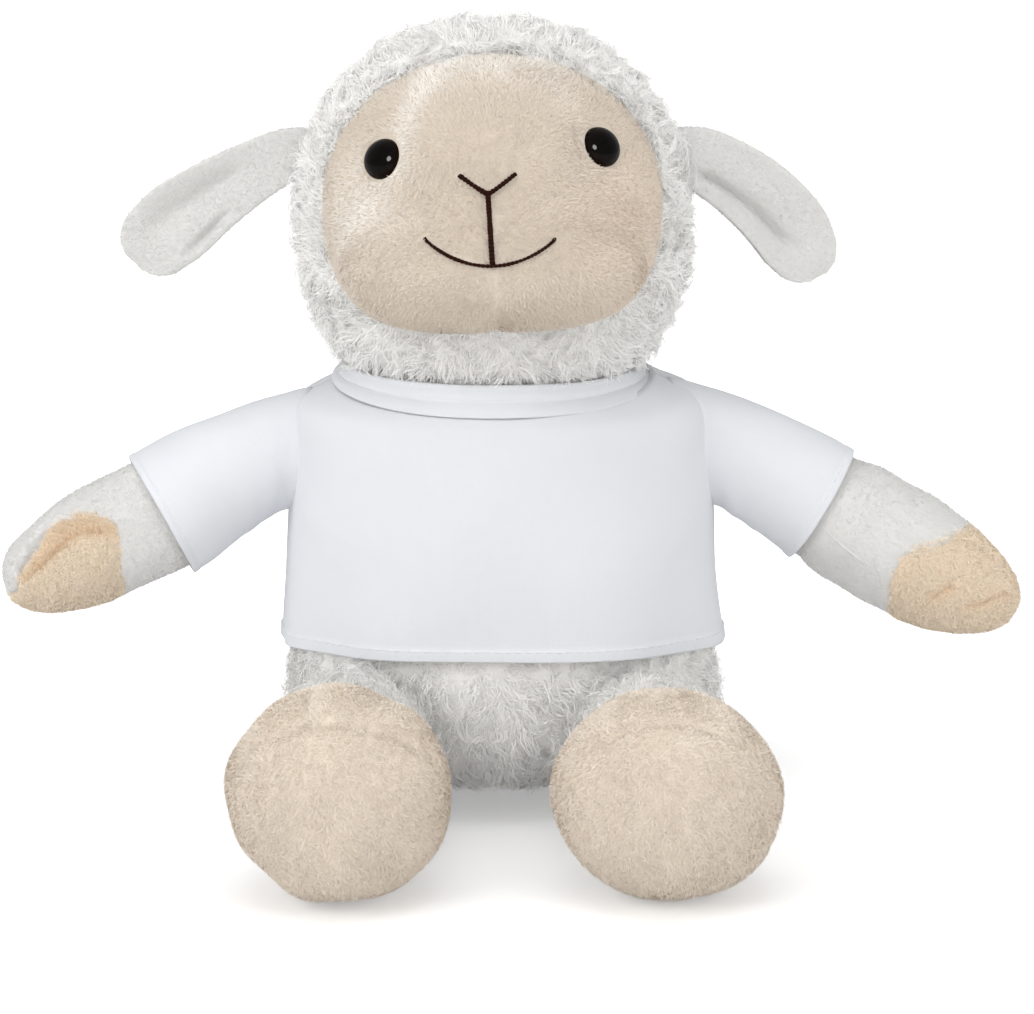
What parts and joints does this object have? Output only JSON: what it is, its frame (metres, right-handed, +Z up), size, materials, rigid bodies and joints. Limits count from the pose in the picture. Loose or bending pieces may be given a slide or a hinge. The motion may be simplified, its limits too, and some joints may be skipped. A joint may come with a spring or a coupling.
{
  "type": "plush sheep",
  "caption": "Seated stuffed sheep with a woolly head and body, drooping ears, short arms, round feet and a plain short-sleeved T-shirt.",
  "frame": {"origin": "on the floor, at the flat of the seat under the torso", "axes": "+Z up, -Y is where the sheep looks, +X to the right of someone who faces it"},
  "size_m": [0.2486, 0.1785, 0.1875],
  "materials": {
    "wool": "long curly white pile",
    "beige_plush": "short dense beige pile",
    "velour": "very short white velour",
    "jersey": "fine white cotton knit",
    "eye_black": "polished black",
    "washer_white": "plain moulded",
    "dark_thread": "twisted embroidery thread",
    "filling": "loose polyester fibre"
  },
  "bodies": {
    "torso": {"torso_skin": "wool", "torso_stuffing": "filling", "shirt_front": "jersey", "shirt_back": "jersey", "collar_band": "jersey"},
    "neck": {"neck_stuffing": "filling"},
    "head": {"head_wool": "wool", "face_gusset": "beige_plush", "left_cheek": "beige_plush", "right_cheek": "beige_plush", "head_stuffing": "filling", "left_eye": "eye_black", "right_eye": "eye_black", "left_eye_washer": "washer_white", "right_eye_washer": "washer_white", "nose_stitch": "dark_thread", "philtrum_stitch": "dark_thread", "mouth_stitch": "dark_thread"},
    "left_ear": {"left_ear_front": "velour", "left_ear_back": "velour"},
    "right_ear": {"right_ear_front": "velour", "right_ear_back": "velour"},
    "left_arm": {"left_sleeve": "jersey", "left_arm_skin": "velour", "left_hand_pad": "beige_plush", "left_arm_stuffing": "filling"},
    "right_arm": {"right_sleeve": "jersey", "right_arm_skin": "velour", "right_hand_pad": "beige_plush", "right_arm_stuffing": "filling"},
    "left_leg": {"left_leg_skin": "wool", "left_foot_upper": "beige_plush", "left_foot_sole": "beige_plush", "left_leg_stuffing": "filling"},
    "right_leg": {"right_leg_skin": "wool", "right_foot_upper": "beige_plush", "right_foot_sole": "beige_plush", "right_leg_stuffing": "filling"},
    "tail": {"tail_skin": "wool", "tail_stuffing": "filling"}
  },
  "joints": [
    {"name": "head_turn", "type": "hinge", "parent": "torso", "child": "neck", "pos_m": [-0.0022, 0, 0.137], "axis": [0, 0, 1], "range_deg": [-40, 40], "stiffness_Nm_per_rad": 0.2},
    {"name": "head_nod", "type": "hinge", "parent": "neck", "child": "head", "pos_m": [-0.0022, 0, 0.137], "axis": [-1, 0, 0], "range_deg": [-15, 15], "stiffness_Nm_per_rad": 0.3},
    {"name": "left_ear_flap", "type": "hinge", "parent": "head", "child": "left_ear", "pos_m": [-0.04646, 0, 0.15708], "axis": [0.309, 0, 0.9511], "range_deg": [-25, 40], "stiffness_Nm_per_rad": 0.004},
    {"name": "right_ear_flap", "type": "hinge", "parent": "head", "child": "right_ear", "pos_m": [0.04206, 0, 0.15708], "axis": [0.309, 0, -0.9511], "range_deg": [-25, 40], "stiffness_Nm_per_rad": 0.004},
    {"name": "left_arm_raise", "type": "hinge", "parent": "torso", "child": "left_arm", "pos_m": [-0.058, 0, 0.0835], "axis": [0, 1, 0], "range_deg": [-20, 45], "stiffness_Nm_per_rad": 0.06},
    {"name": "right_arm_raise", "type": "hinge", "parent": "torso", "child": "right_arm", "pos_m": [0.058, 0, 0.0835], "axis": [0, -1, 0], "range_deg": [-20, 45], "stiffness_Nm_per_rad": 0.06},
    {"name": "left_leg_lift", "type": "hinge", "parent": "torso", "child": "left_leg", "pos_m": [-0.0338, -0.0478, 0.022], "axis": [-1, 0, 0], "range_deg": [-10, 35], "stiffness_Nm_per_rad": 0.15},
    {"name": "right_leg_lift", "type": "hinge", "parent": "torso", "child": "right_leg", "pos_m": [0.0338, -0.0478, 0.022], "axis": [-1, 0, 0], "range_deg": [-10, 35], "stiffness_Nm_per_rad": 0.15},
    {"name": "tail_lift", "type": "hinge", "parent": "torso", "child": "tail", "pos_m": [0, 0.0474, 0.02], "axis": [1, 0, 0], "range_deg": [-15, 25], "stiffness_Nm_per_rad": 0.01}
  ]
}
